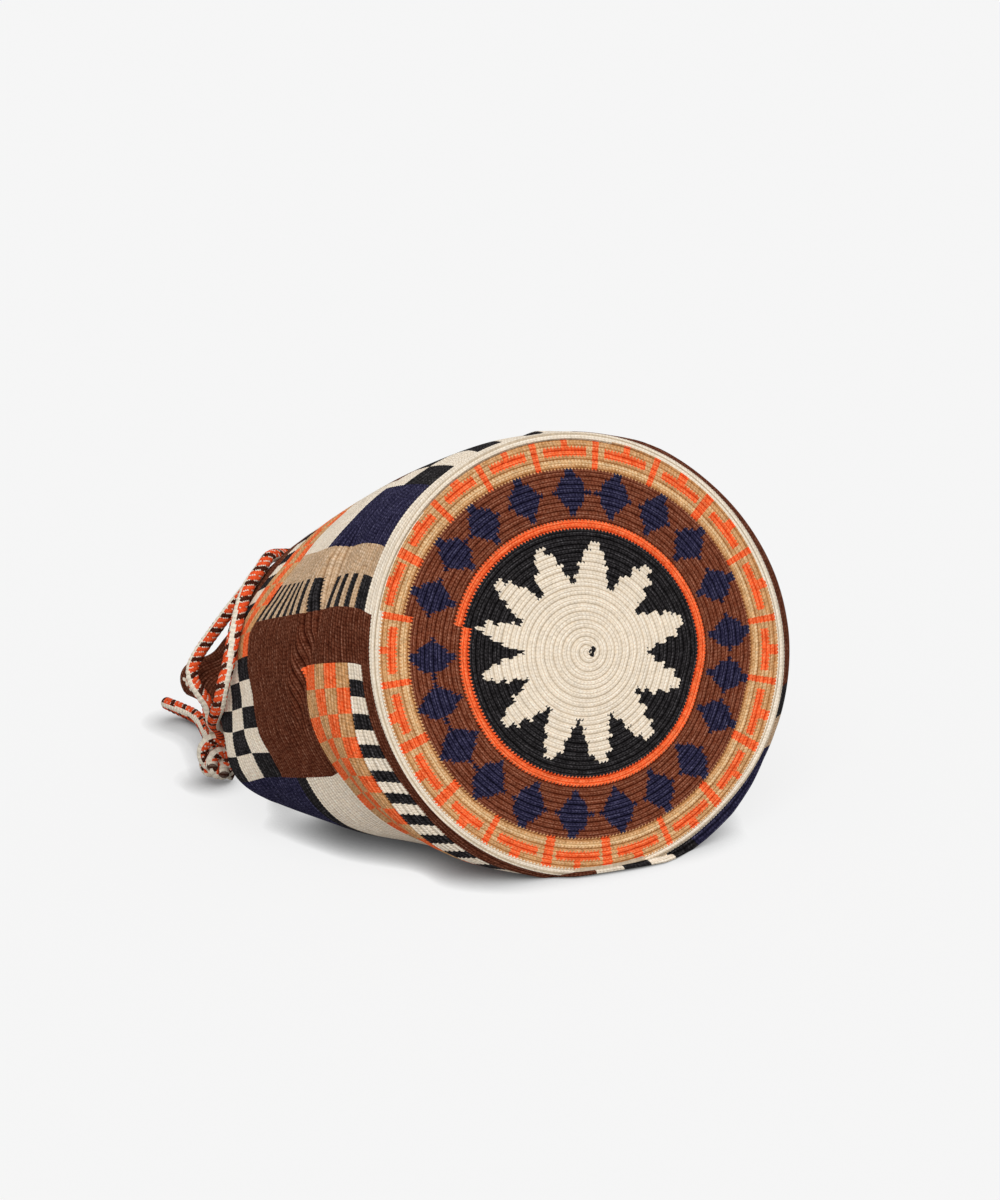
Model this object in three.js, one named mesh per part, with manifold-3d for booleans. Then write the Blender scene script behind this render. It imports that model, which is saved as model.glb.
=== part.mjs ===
// A crocheted drawstring bucket bag lying on its side: round ridged base towards -Y, slumped wall, gathered
// neck with a cord threaded through eyelets, both cord ends tied in one knot. Millimetres and degrees, +Z up,
// the bag rests on z = 0 and its box is centred on x = y = 0.
import * as THREE from 'three';
import { mergeVertices } from 'three/addons/utils/BufferGeometryUtils.js';
import Module from 'manifold-3d';

// Driving dimensions of the crocheted shell
const BASE_RADIUS = 117;
const WALL_HEIGHT = 210; // base edge to rim, along the fabric
const FABRIC = 3.5; // thickness of the crochet
const BASE_LEAN = 24.4; // how far the base leans back from upright
const BASE_DOME = 4; // how far the middle of the base stands out
const FLOOR_PRESS = 2; // how far the underside is pressed flat by the bag's weight
const RIDGE_COUNT = 7; // ridges on the base, each one a band of crochet rounds
const RIDGE_RELIEF = 0.7;
const CREASE_DEPTH = 10.4; // soft crease across the lower left wall
const CREASE_HEIGHT = 43.4; // base edge to the crease
const CREASE_HALF_HEIGHT = 26.7;
const CREASE_ANGLE = 242.8; // clockwise from the top, seen from the base
const CREASE_HALF_ANGLE = 24.3;
const BULGE_DEPTH = 16.6; // fold that swells out between the base and the crease
const BULGE_HEIGHT = 24.6; // base edge to its crest, at the crease's angle
const BULGE_RISE = 0.25; // of the crest, for each degree round the wall
const BULGE_BELOW = 14.2; // reach of the swelling below its crest
const BULGE_ABOVE = 19.2;
const BULGE_START = [189, 216]; // angles over which it grows and dies away
const BULGE_END = [229, 281.6];

// Driving dimensions of the gathered neck and its cord
const EYELET_HEIGHT = 155; // base edge to the row of eyelets
const GATHER_COUNT = 12;
const GATHER_DEPTH = 8;
const GATHER_RUN = 32; // wall height over which the gathers grow from nothing
const GATHER_SLANT = 11; // how far the folds turn round the neck between the eyelets and the rim
const TIE_ANGLE = 314; // where both cord ends come out
const CORD_DIAMETER = 7;
const CORD_SIDES = 8;
const CORD_STEPS = 84;
const EYELET_CLEARANCE = 1.2;
const KNOT_RADIUS = 11;
const KNOT_GAP = 0.5; // between the knot and the two cord ends that run into it
const TAIL_LENGTH = 19; // cut end of the cord, from the middle of the knot

// Sections of the slumped wall. height is a share of WALL_HEIGHT and run the way along the floor as a share of it,
// lean in degrees, the rest as shares of BASE_RADIUS apart from waist, the share of the section's height at which
// it is widest, and the two powers of its rounded outline.
const BASE_TOP = 2 * Math.cos(THREE.MathUtils.degToRad(BASE_LEAN));
const SECTIONS = [
  { height: 0.0, run: 0.0, lean: BASE_LEAN, left: 1, right: 1, middle: 0,
    top: BASE_TOP, bottom: 0, upper: 2, lower: 2, waist: 0.5 },
  { height: 0.05, run: 0.024, lean: 24.8, left: 1.056, right: 1.061, middle: -0.009,
    top: 1.8115, bottom: 0, upper: 2.07, lower: 1.88, waist: 0.479 },
  { height: 0.24, run: 0.16, lean: 26, left: 1.265, right: 1.051, middle: -0.068,
    top: 1.703, bottom: 0, upper: 2.05, lower: 2.5, waist: 0.46 },
  { height: 0.48, run: 0.362, lean: 27, left: 1.419, right: 0.974, middle: -0.188,
    top: 1.47, bottom: 0, upper: 2.25, lower: 2.8, waist: 0.41 },
  { height: 0.64, run: 0.5, lean: 25.5, left: 1.462, right: 0.863, middle: -0.299,
    top: 1.325, bottom: 0.017, upper: 2.32, lower: 3.1, waist: 0.37 },
  { height: 0.74, run: 0.602, lean: 23, left: 1.402, right: 0.761, middle: -0.359,
    top: 1.179, bottom: 0.077, upper: 2.25, lower: 2.8, waist: 0.38 },
  { height: 0.86, run: 0.735, lean: 18, left: 1.35, right: 0.675, middle: -0.427,
    top: 0.906, bottom: 0.077, upper: 1.9, lower: 2.2, waist: 0.42 },
  { height: 1.0, run: 0.9, lean: 12, left: 1.479, right: 0.65, middle: -0.496,
    top: 0.786, bottom: 0.06, upper: 1.7, lower: 1.6, waist: 0.5 },
];

// Free stretches of the cord, as points chosen by hand. The first hangs from the upper eyelet down the outside of
// the neck to the knot, the second loops out of the lower eyelet, lands on the rim's corner, drops to the floor,
// turns there and comes back to the knot.
const FIRST_END = [
  [-122.2, 175.7, 133.1], [-135.4, 164.7, 137.1], [-142.6, 158, 133.2], [-150.6, 153, 127.1], [-157.1, 146.5, 119.1],
  [-162.5, 140, 110.3], [-166.9, 134.9, 100.7], [-170.4, 131, 91.6], [-174.3, 128.5, 82.2], [-176.2, 130, 71.4],
  [-177.5, 139.1, 57.8], [-170.8, 156, 43.6], [-166.8, 169, 32],
];
const SECOND_END = [
  [-131, 181, 118.5], [-133, 188.5, 117.5], [-138.5, 192, 111.5], [-149.7, 192, 99.5], [-157.4, 190.5, 91.6],
  [-165.2, 188.5, 83.7], [-171.7, 186, 76.9], [-176.2, 182.5, 70.6], [-176.7, 177.5, 64.8], [-174.4, 172.5, 59.8],
  [-171.4, 170, 54.3], [-170.4, 172.2, 45.8], [-166.2, 180, 36.8], [-163, 193, 30], [-158.5, 206, 21],
  [-155, 219, 12.5], [-151.8, 232, 6.5], [-148.8, 245, 4.4], [-147.4, 257.5, 4], [-146.9, 268.5, 4],
  [-148, 279, 4], [-151.6, 287.5, 4], [-157.4, 292, 4], [-164, 290.8, 4], [-167.6, 285, 4], [-166.6, 278, 4],
  [-163, 271, 4], [-159.2, 264.3, 4], [-156.6, 257, 4], [-156.4, 247.5, 4.4], [-158.4, 238, 5.4],
  [-160.6, 227, 6.8], [-161.3, 216, 7.5],
];
const KNOT_CENTRE = [-161, 190, 11.4];
const TAIL_DIRECTIONS = [[-0.42, -0.84, -0.2], [0.15, -0.92, -0.3]];

// Counts of the faceted surfaces
const ROUND_FACETS = 72;
const SECTION_SAMPLES = 360;
const OUTER_HEIGHTS = [
  0, 0.02, 0.05, 0.08, 0.11, 0.14, 0.17, 0.2, 0.245, 0.3, 0.37, 0.45, 0.53, 0.6, 0.66, 0.7, 0.74, 0.78, 0.83,
  0.88, 0.94, 1,
];
const INNER_HEIGHTS = [0.03, 0.07, 0.11, 0.155, 0.2, 0.245, 0.3, 0.45, 0.6, 0.66, 0.7, 0.74, 0.78, 0.86, 1];

const { degToRad, smoothstep } = THREE.MathUtils;

// Height along the wall, as a share, of what is given in millimetres
const share = (height) => height / WALL_HEIGHT;

// Value of one section field at a height: a monotone cubic through the listed sections
function sectionValue(field, height) {
  const x = SECTIONS.map((section) => section.height);
  const y = SECTIONS.map((section) => section[field]);
  const last = x.length - 1;
  const width = x.slice(1).map((value, i) => value - x[i]);
  const rise = width.map((value, i) => (y[i + 1] - y[i]) / value);
  const slope = x.map((_, i) => {
    if (i === 0) return rise[0];
    if (i === last) return rise[last - 1];
    if (rise[i - 1] * rise[i] <= 0) return 0;
    const before = 2 * width[i] + width[i - 1];
    const after = width[i] + 2 * width[i - 1];
    return (before + after) / (before / rise[i - 1] + after / rise[i]);
  });
  let i = 0;
  while (i < last - 1 && height >= x[i + 1]) i += 1;
  const t = (height - x[i]) / width[i];
  const cube = t * t * t;
  const square = t * t;
  return (2 * cube - 3 * square + 1) * y[i] + (cube - 2 * square + t) * width[i] * slope[i]
    + (3 * square - 2 * cube) * y[i + 1] + (cube - square) * width[i] * slope[i + 1];
}

// Rounded outline of the wall at a height, as points spaced by angle from the top, with their running length
function sectionOutline(height) {
  const value = (field) => sectionValue(field, height);
  const roundedPower = (part, power) => Math.sign(part) * Math.abs(part) ** (2 / power);
  const [left, right, middle] = [value('left'), value('right'), value('middle')];
  const [top, bottom, waist] = [value('top'), value('bottom'), value('waist')];
  const [upper, lower] = [value('upper'), value('lower')];
  const points = [];
  for (let i = 0; i <= SECTION_SAMPLES; i += 1) {
    const angle = (2 * Math.PI * i) / SECTION_SAMPLES;
    const power = Math.cos(angle) > 0 ? upper : lower;
    const across = roundedPower(Math.sin(angle), power);
    const up = roundedPower(Math.cos(angle), power);
    const x = middle + across * (across > 0 ? right - middle : left + middle);
    const z = bottom + (top - bottom) * (waist + up * (up > 0 ? 1 - waist : waist));
    points.push(new THREE.Vector2(x * BASE_RADIUS, z * BASE_RADIUS));
  }
  const lengths = [0];
  for (let i = 1; i < points.length; i += 1) lengths.push(lengths[i - 1] + points[i].distanceTo(points[i - 1]));
  return { points, lengths, run: value('run') * WALL_HEIGHT, slope: Math.tan(degToRad(value('lean'))) };
}

// Point of an outline at a share of its length from the top, clockwise seen from the base
function alongOutline(outline, turn) {
  const { points, lengths } = outline;
  const target = (turn - Math.floor(turn)) * lengths[lengths.length - 1];
  let i = 1;
  while (i < lengths.length - 1 && lengths[i] < target) i += 1;
  const part = (target - lengths[i - 1]) / (lengths[i] - lengths[i - 1]);
  return points[i - 1].clone().lerp(points[i], part);
}

// How far the outer face stands in from the plain outline: gathers of the neck and the crease
function standIn(height, turn) {
  const start = share(EYELET_HEIGHT - GATHER_RUN);
  const gather = GATHER_DEPTH * smoothstep(height, start, share(EYELET_HEIGHT + 4));
  const slant = GATHER_SLANT * smoothstep(height, share(EYELET_HEIGHT), 1);
  const wave = Math.cos(2 * Math.PI * GATHER_COUNT * (turn - (TIE_ANGLE + slant) / 360));
  const across = (height - share(CREASE_HEIGHT)) / share(CREASE_HALF_HEIGHT);
  const around = (turn * 360 - CREASE_ANGLE) / CREASE_HALF_ANGLE;
  return gather * wave + CREASE_DEPTH * Math.exp(-across * across - around * around);
}

// How far the fold on the left swells out sideways
function swelling(height, turn) {
  const angle = turn * 360;
  const span = smoothstep(angle, ...BULGE_START) * (1 - smoothstep(angle, ...BULGE_END));
  const crest = share(BULGE_HEIGHT + BULGE_RISE * (angle - CREASE_ANGLE));
  const across = (height - crest) / share(height < crest ? BULGE_BELOW : BULGE_ABOVE);
  return BULGE_DEPTH * span * smoothstep(height, 0, 0.03) * Math.exp(-across * across);
}

// Point of the wall, a depth below its outer face in the plane of the section
function wallPoint(outline, height, turn, { depth = 0, gathered = true } = {}) {
  const step = 1 / SECTION_SAMPLES;
  const tangent = alongOutline(outline, turn + step).sub(alongOutline(outline, turn - step)).normalize();
  const inset = depth + (gathered ? standIn(height, turn) : 0);
  const point = alongOutline(outline, turn).add(new THREE.Vector2(tangent.y, -tangent.x).multiplyScalar(inset));
  const press = FLOOR_PRESS * (1 - smoothstep(height, 0.55, share(EYELET_HEIGHT)));
  const z = Math.max(point.y - press, gathered ? depth : 0);
  const x = point.x - (gathered ? swelling(height, turn) : 0);
  return new THREE.Vector3(x, outline.run + z * outline.slope, z);
}

function wallRing(height, depth) {
  const outline = sectionOutline(height);
  return Array.from({ length: ROUND_FACETS }, (_, i) => wallPoint(outline, height, i / ROUND_FACETS, { depth }));
}

// Ring of the base at a share of its radius, pushed out along the base's normal
function baseRing(radiusShare, out) {
  const lean = degToRad(BASE_LEAN);
  return Array.from({ length: ROUND_FACETS }, (_, i) => {
    const angle = (2 * Math.PI * i) / ROUND_FACETS;
    const x = BASE_RADIUS * radiusShare * Math.sin(angle);
    const up = BASE_RADIUS * (1 + radiusShare * Math.cos(angle)) * Math.cos(lean) - FLOOR_PRESS;
    const z = Math.max(up, 0);
    return new THREE.Vector3(x, z * Math.tan(lean) - out * Math.cos(lean), z + out * Math.sin(lean));
  });
}

// Closed surface from rings in order, with a point at each end
function closedFromRings(start, rings, end) {
  const count = ROUND_FACETS;
  const vertices = [start, ...rings.flat(), end];
  const index = [];
  const at = (ring, i) => 1 + ring * count + (i % count);
  for (let i = 0; i < count; i += 1) {
    index.push(0, at(0, i + 1), at(0, i));
    for (let ring = 0; ring < rings.length - 1; ring += 1) {
      index.push(at(ring, i), at(ring, i + 1), at(ring + 1, i + 1));
      index.push(at(ring, i), at(ring + 1, i + 1), at(ring + 1, i));
    }
    index.push(vertices.length - 1, at(rings.length - 1, i), at(rings.length - 1, i + 1));
  }
  const geometry = new THREE.BufferGeometry().setFromPoints(vertices);
  geometry.setIndex(index);
  return geometry;
}

const wasm = await Module();
wasm.setup();

function toSolid(geometry) {
  const bare = geometry.clone();
  bare.deleteAttribute('normal');
  bare.deleteAttribute('uv');
  const merged = mergeVertices(bare, 1e-4);
  return new wasm.Manifold(new wasm.Mesh({
    numProp: 3,
    vertProperties: Float32Array.from(merged.attributes.position.array),
    triVerts: Uint32Array.from(merged.index.array),
  }));
}

function toGeometry(solid) {
  const mesh = solid.getMesh();
  const geometry = new THREE.BufferGeometry();
  geometry.setAttribute('position', new THREE.BufferAttribute(Float32Array.from(mesh.vertProperties), 3));
  geometry.setIndex(new THREE.BufferAttribute(Uint32Array.from(mesh.triVerts), 1));
  return geometry;
}

// Round tube along a smooth curve through points
function tube(points, radius, steps) {
  const section = new THREE.Shape();
  for (let i = 0; i < CORD_SIDES; i += 1) {
    const angle = (2 * Math.PI * i) / CORD_SIDES;
    section[i === 0 ? 'moveTo' : 'lineTo'](radius * Math.cos(angle), radius * Math.sin(angle));
  }
  section.closePath();
  const extrudePath = new THREE.CatmullRomCurve3(points, false, 'centripetal');
  return new THREE.ExtrudeGeometry(section, { extrudePath, steps, bevelEnabled: false });
}

const toVector = (point) => new THREE.Vector3(...point);

// Where a cord end that comes from a point stops, just short of the knot
function atKnot(point) {
  const centre = toVector(KNOT_CENTRE);
  return toVector(point).sub(centre).setLength(KNOT_RADIUS + KNOT_GAP).add(centre);
}

// Threaded stretch of the cord: once round the neck from the upper to the lower eyelet of the tie, along the middle
// of the ungathered wall, so that each gather lies inside it or outside it in turn
function neckLoop() {
  const height = share(EYELET_HEIGHT);
  const outline = sectionOutline(height);
  const perGather = 4;
  const count = GATHER_COUNT * perGather;
  return Array.from({ length: count - 2 }, (_, i) => wallPoint(
    outline, height, TIE_ANGLE / 360 + (i + 1.5) / count, { depth: FABRIC / 2, gathered: false },
  ));
}

function makeBagBody() {
  const baseOuter = [];
  for (let i = 1; i < 2 * RIDGE_COUNT; i += 1) {
    const radiusShare = i / (2 * RIDGE_COUNT);
    const relief = i % 2 === 1 ? RIDGE_RELIEF : 0;
    baseOuter.push(baseRing(radiusShare, BASE_DOME * (1 - radiusShare * radiusShare) + relief));
  }
  const outer = OUTER_HEIGHTS.map((height) => wallRing(height, 0));
  const inner = INNER_HEIGHTS.map((height) => wallRing(height, FABRIC)).reverse();
  const baseInner = [0.7, 0.35].map((part) => baseRing(part, BASE_DOME * (1 - part * part) - FABRIC));
  const centre = (out) => baseRing(0, out)[0];
  const shell = closedFromRings(
    centre(BASE_DOME), [...baseOuter, ...outer, ...inner, ...baseInner], centre(BASE_DOME - FABRIC),
  );
  const loop = neckLoop();
  const threaded = [toVector(FIRST_END[1]), toVector(FIRST_END[0]), ...loop, toVector(SECOND_END[0]),
    toVector(SECOND_END[1])];
  const eyelets = tube(threaded, CORD_DIAMETER / 2 + EYELET_CLEARANCE, CORD_STEPS);
  return toGeometry(toSolid(shell).subtract(toSolid(eyelets)));
}

function makeDrawstring() {
  const first = [...FIRST_END.map(toVector), atKnot(FIRST_END.at(-1))];
  const second = [...SECOND_END.map(toVector), atKnot(SECOND_END.at(-1))];
  return tube([...first.reverse(), ...neckLoop(), ...second], CORD_DIAMETER / 2, CORD_STEPS);
}

// Overhand knot as three crossing turns of the cord and its two cut tails
function makeKnot() {
  const turn = (rotation) => {
    const ring = new THREE.TorusGeometry(KNOT_RADIUS - CORD_DIAMETER / 2, CORD_DIAMETER / 2, CORD_SIDES, 2 * CORD_SIDES);
    ring.applyMatrix4(new THREE.Matrix4().makeRotationFromEuler(new THREE.Euler(...rotation)));
    return toSolid(ring);
  };
  const tail = (direction) => {
    const way = toVector(direction).normalize();
    const end = new THREE.CylinderGeometry(CORD_DIAMETER / 2, CORD_DIAMETER / 2, TAIL_LENGTH, CORD_SIDES);
    end.translate(0, TAIL_LENGTH / 2, 0);
    end.applyQuaternion(new THREE.Quaternion().setFromUnitVectors(new THREE.Vector3(0, 1, 0), way));
    return toSolid(end);
  };
  const turns = [[0.4, 0.3, 0], [1.7, 0.5, 0.3], [0.9, 1.6, 0.2]].map(turn);
  const parts = [...turns, ...TAIL_DIRECTIONS.map(tail)];
  return toGeometry(parts.reduce((knot, part) => knot.add(part)));
}

const crochet = new THREE.MeshStandardMaterial({ color: 0x693726, roughness: 0.95, metalness: 0 });
const plait = new THREE.MeshStandardMaterial({ color: 0xde6230, roughness: 0.9, metalness: 0 });

function namedMesh(name, geometry, material) {
  const mesh = new THREE.Mesh(geometry, material);
  mesh.name = name;
  return mesh;
}

const bagBody = namedMesh('bag_body', makeBagBody(), crochet);
const drawstring = namedMesh('drawstring', makeDrawstring(), plait);
const knot = namedMesh('drawstring_knot', makeKnot(), plait);
knot.position.set(...KNOT_CENTRE);

const bag = new THREE.Group();
bag.add(bagBody, drawstring, knot);
bagBody.geometry.computeBoundingBox();
const centre = bagBody.geometry.boundingBox.getCenter(new THREE.Vector3());
bag.position.set(-centre.x, -centre.y, 0);

export default bag;
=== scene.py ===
"""Crocheted drawstring bucket bag lying on its side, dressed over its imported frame.

The shell is worked in rounds from the middle of the base: every round is a raised ridge in the mesh, every
face takes the yarn of its stitch, and the motifs follow stitch and round counts. Angles in the tables count
from the bag's top, over its right side, in degrees. Lengths are in millimetres until a mesh is made.
"""
from functools import partial

import bpy
import numpy as np
from mathutils import Matrix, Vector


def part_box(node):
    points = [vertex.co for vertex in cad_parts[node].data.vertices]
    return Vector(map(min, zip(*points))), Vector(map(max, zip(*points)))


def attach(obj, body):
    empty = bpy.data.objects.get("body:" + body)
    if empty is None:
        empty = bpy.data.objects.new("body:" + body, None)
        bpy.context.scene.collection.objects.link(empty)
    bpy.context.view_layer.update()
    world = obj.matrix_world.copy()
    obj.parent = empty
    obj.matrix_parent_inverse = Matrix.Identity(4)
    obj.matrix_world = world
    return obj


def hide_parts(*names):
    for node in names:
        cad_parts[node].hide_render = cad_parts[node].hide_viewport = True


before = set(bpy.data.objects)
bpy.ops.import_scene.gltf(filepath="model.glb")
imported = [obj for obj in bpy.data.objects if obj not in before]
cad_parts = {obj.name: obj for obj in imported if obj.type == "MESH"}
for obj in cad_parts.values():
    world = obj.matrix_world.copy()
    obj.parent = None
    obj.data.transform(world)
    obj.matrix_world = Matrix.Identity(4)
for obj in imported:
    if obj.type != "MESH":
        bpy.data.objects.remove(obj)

bl_info = {
    "name": "Crocheted bucket bag",
    "version": (1, 0, 0),
    "blender": (4, 5, 0),
    "location": "View3D > Sidebar > Bag",
    "description": "Builds a crocheted drawstring bag, its plaited drawstring and a plain studio around it",
    "category": "Add Mesh",
}

MM = 0.001

# Shell
RADIUS = 117.0
HEIGHT = 210.0
LEAN = np.radians(24.4)
DOME = 4.0
FLOOR_PRESS = 2.0
EYELETS = 155 / HEIGHT
GATHERS, GATHER_DEPTH = 12, 8.0
GATHER_START, GATHER_END = 123 / HEIGHT, 159 / HEIGHT
TIE, SLANT = 314 / 360, 11 / 360
CREASE_DEPTH, CREASE_AT, CREASE_RUN = 10.4, 43.4 / HEIGHT, 26.7 / HEIGHT
CREASE_ANGLE, CREASE_SPAN = 242.8, 24.3
BULGE_DEPTH, BULGE_AT, BULGE_RISE = 16.6, 24.6 / HEIGHT, 0.25 / HEIGHT
BULGE_BELOW, BULGE_ABOVE = 14.2 / HEIGHT, 19.2 / HEIGHT
BULGE_START, BULGE_END = (189.0, 216.0), (229.0, 281.6)
LOW_CORNER = np.array([-176.619, 0.0, 0.0])  # of the bag body in the working frame
SHIFT = np.array(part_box("bag_body")[0]) / MM - LOW_CORNER

# Sections of the wall. Each row: height and run as shares of the wall's height, lean in degrees, then left,
# right, middle, top and bottom as shares of the radius, upper power, lower power and waist
SECTIONS = np.array([
    [0.00, 0.000, 24.4, 1.000, 1.000, 0.000, 2 * np.cos(LEAN), 0.000, 2.00, 2.00, 0.500],
    [0.05, 0.024, 24.8, 1.056, 1.061, -0.009, 1.8115, 0.000, 2.07, 1.88, 0.479],
    [0.24, 0.160, 26.0, 1.265, 1.051, -0.068, 1.703, 0.000, 2.05, 2.50, 0.460],
    [0.48, 0.362, 27.0, 1.419, 0.974, -0.188, 1.470, 0.000, 2.25, 2.80, 0.410],
    [0.64, 0.500, 25.5, 1.462, 0.863, -0.299, 1.325, 0.017, 2.32, 3.10, 0.370],
    [0.74, 0.602, 23.0, 1.402, 0.761, -0.359, 1.179, 0.077, 2.25, 2.80, 0.380],
    [0.86, 0.735, 18.0, 1.350, 0.675, -0.427, 0.930, 0.077, 1.90, 2.20, 0.420],
    [1.00, 0.900, 12.0, 1.479, 0.650, -0.496, 0.860, 0.060, 1.70, 1.60, 0.470],
])

# Crochet
STITCHES = 384
BASE_ROUNDS = 51
WALL_ROUNDS = 110
TURN_ROUNDS = 2  # rounds from one turn of the base's spiral to the next
ROWS = 3  # mesh rows in a round, the first one on its border
SEAM = 289.0  # where the spiral of the base starts and ends
UNDERNEATH = 200  # stitch at which the wall's layout starts
# The wall's darker brown is the base's brown darkened: painted shade over the wall's brown fields, neck and
# frill.
CREAM, BLACK, ORANGE, BROWN, NAVY, TAN, PALE, STRAW, SHADED_BROWN = range(9)
BAR_ANGLES = np.array([
    13.5, 32.0, 50.5, 69.0, 88.5, 106.5, 125.5, 145.0, 163.5, 182.5,
    200.5, 218.5, 235.0, 252.0, 269.5, 288.0, 305.5, 322.0, 338.0, 354.5])
DIAMOND_ANGLES = np.array([
    4.8, 21.0, 38.0, 55.0, 73.0, 91.0, 106.5, 122.5, 142.0, 159.0, 176.5,
    193.5, 211.0, 228.0, 244.0, 260.0, 276.0, 297.0, 314.0, 329.0, 346.5])
NOTCH_ANGLES = np.array([
    32.0, 63.5, 98.5, 133.5, 165.5, 195.5, 224.0, 254.5, 277.5, 301.5, 328.0, 359.0])

# Slack in the fabric: rounds taken up by the fold on the left, the fold's own line, how far the base's rounds
# and its edge wander (thousandths of the radius), and the swelling under the base's edge
TAKEN_ANGLES = [231, 249.8, 254.3, 259.9, 270, 276.8, 284.6, 288, 291.4, 294.8, 301.5, 309.4, 317.3, 354.4]
TAKEN_ROUNDS = [0, 7.1, 6.8, 4.4, 3.6, 0.6, 0, 4.2, 7.7, 9.5, 12, 12, 13.7, 0]
FOLD_ANGLES = [262, 274.9, 278.3, 282.1, 286.4, 290.7, 300]
FOLD_ROUNDS = [32, 26.8, 25.2, 23.6, 23.2, 22.2, 21]
RING_ANGLES = [0, 45, 90, 100, 112, 126, 144, 162, 180, 198, 216, 234, 252, 270, 289, 306, 324, 342]
RING_SHIFTS = [-13, -9, -3, -8, -24, -17, -11, -3, 6, 15, 22, 24, 19, 17, 10, 4, -4, -10]
EDGE_ANGLES = [0, 45, 90, 108, 126, 144, 162, 180, 198, 216, 234, 252, 270, 285, 320]
EDGE_SHIFTS = [5, 3, 6, 0, -8, -24, -13, 2, 10, 14, 15, 12, 8, 3, 3]
LIP_ANGLES = [120, 128, 135, 144, 154, 165, 175, 190, 205, 215]
LIP_DEPTHS = [0, 1, 3.5, 6, 6.4, 6.4, 6, 5, 2, 0]

# Drawstring: both free ends from the eyelet to the knot
KNOT_CENTRE = np.array([-161.0, 190.0, 11.4])
FIRST_END = np.array([
    [-122.2, 175.7, 133.1], [-135.4, 164.7, 137.1], [-142.6, 158, 133.2], [-150.6, 153, 127.1],
    [-157.1, 146.5, 119.1], [-162.5, 140, 110.3], [-166.9, 134.9, 100.7], [-170.4, 131, 91.6],
    [-174.3, 128.5, 82.2], [-176.2, 130, 71.4], [-176.1, 142.6, 56.4], [-165.1, 169.9, 37.9],
    [-160.5, 183, 29], [-157.5, 192, 21.5], [-157.5, 195.5, 14]])
SECOND_END = np.array([
    [-131, 181, 118.5], [-133, 188.5, 117.5], [-138.5, 192, 111.5], [-149.7, 192, 99.5],
    [-157.4, 190.5, 91.6], [-165.2, 188.5, 83.7], [-171.7, 186, 76.9], [-176.2, 182.5, 70.6],
    [-176.7, 177.5, 64.8], [-174.4, 172.5, 59.8], [-171.4, 170, 54.3], [-170.4, 172.2, 45.8],
    [-166.2, 180, 36.8], [-163, 193, 30], [-158.5, 206, 21], [-146.5, 227.9, 9], [-144.8, 238.7, 5.5],
    [-144.7, 247, 4], [-146, 254.7, 4], [-148.9, 261.5, 4], [-151.8, 268.3, 4], [-153.7, 273.4, 4],
    [-156.3, 277.1, 4.7], [-159.9, 279, 6.6], [-163.5, 278.7, 9.2], [-166.3, 276.3, 11.9],
    [-167.4, 272.3, 13.8], [-166.6, 267.9, 14.5], [-164.7, 262.8, 15], [-161.8, 256, 15],
    [-158.9, 249.2, 15], [-157.6, 241.5, 15], [-157.3, 233.2, 14.5], [-158, 223.9, 14],
    [-159.3, 211.8, 13.5], [-162.5, 188.7, 13.3]])
CORD_STEP = 0.65  # between mesh rings along a cord
CORD_SIDES = 24
LEAF, BEAD = 3.3, 2.6  # lengths of a leaf of the plait and of a bead of its chains
# how much further the chains are turned, in degrees, at these lengths along the cord
TURN_AT = [90, 105, 120, 135, 150, 165, 885, 925, 1060, 1090, 1105, 1125]
TURN_MORE = [15, 25, 53, 77, 100, 110, 80, 70, 56, 34, 34, 45]

# Stage: where the floor's shade is looked for, and the camera in the working frame
SHADE_SIDE = (0.53, -0.22, 0.82)
EYE = np.array([-551.107, -1178.762, 647.908])
EYE_RIGHT = np.array([0.925018, -0.379924, 0.0])
EYE_UP = np.array([0.135678, 0.330342, 0.934059])
EYE_AHEAD = np.array([0.354871, 0.864021, -0.357119])


def smooth(low, high, x):
    """Ease from 0 at low to 1 at high: 3t^2 - 2t^3."""
    t = np.clip((x - low) / (high - low), 0, 1)
    return t * t * (3 - 2 * t)


def linear(rgb):
    """Display colour, 0 to 255, as linear light."""
    c = np.asarray(rgb, float) / 255
    return np.where(c <= 0.04045, c / 12.92, ((c + 0.055) / 1.055) ** 2.4)


def round_table(angles, values):
    """Values given at some angles round the base, as a smooth table of half degrees."""
    table = np.interp(np.arange(720) / 2, angles, values, period=360)
    window = np.hanning(41)
    return np.convolve(np.tile(table, 3), window / window.sum(), "same")[720:1440]


def at_angle(table, angle):
    """Value of such a table at an angle in radians."""
    return np.interp(np.degrees(angle) % 360, np.arange(721) / 2, np.append(table, table[0]))


def noise(a, b, seed, waves=9):
    """Smooth unevenness between about -1 and 1: a sum of sines of seeded direction and phase."""
    rng = np.random.default_rng(seed)
    total = 0
    for _ in range(waves):
        turn, phase, rate = rng.uniform(0, 2 * np.pi), rng.uniform(0, 2 * np.pi), rng.uniform(0.6, 1.6)
        total = total + np.sin(rate * (a * np.cos(turn) + b * np.sin(turn)) + phase)
    return total / np.sqrt(waves)


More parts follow.
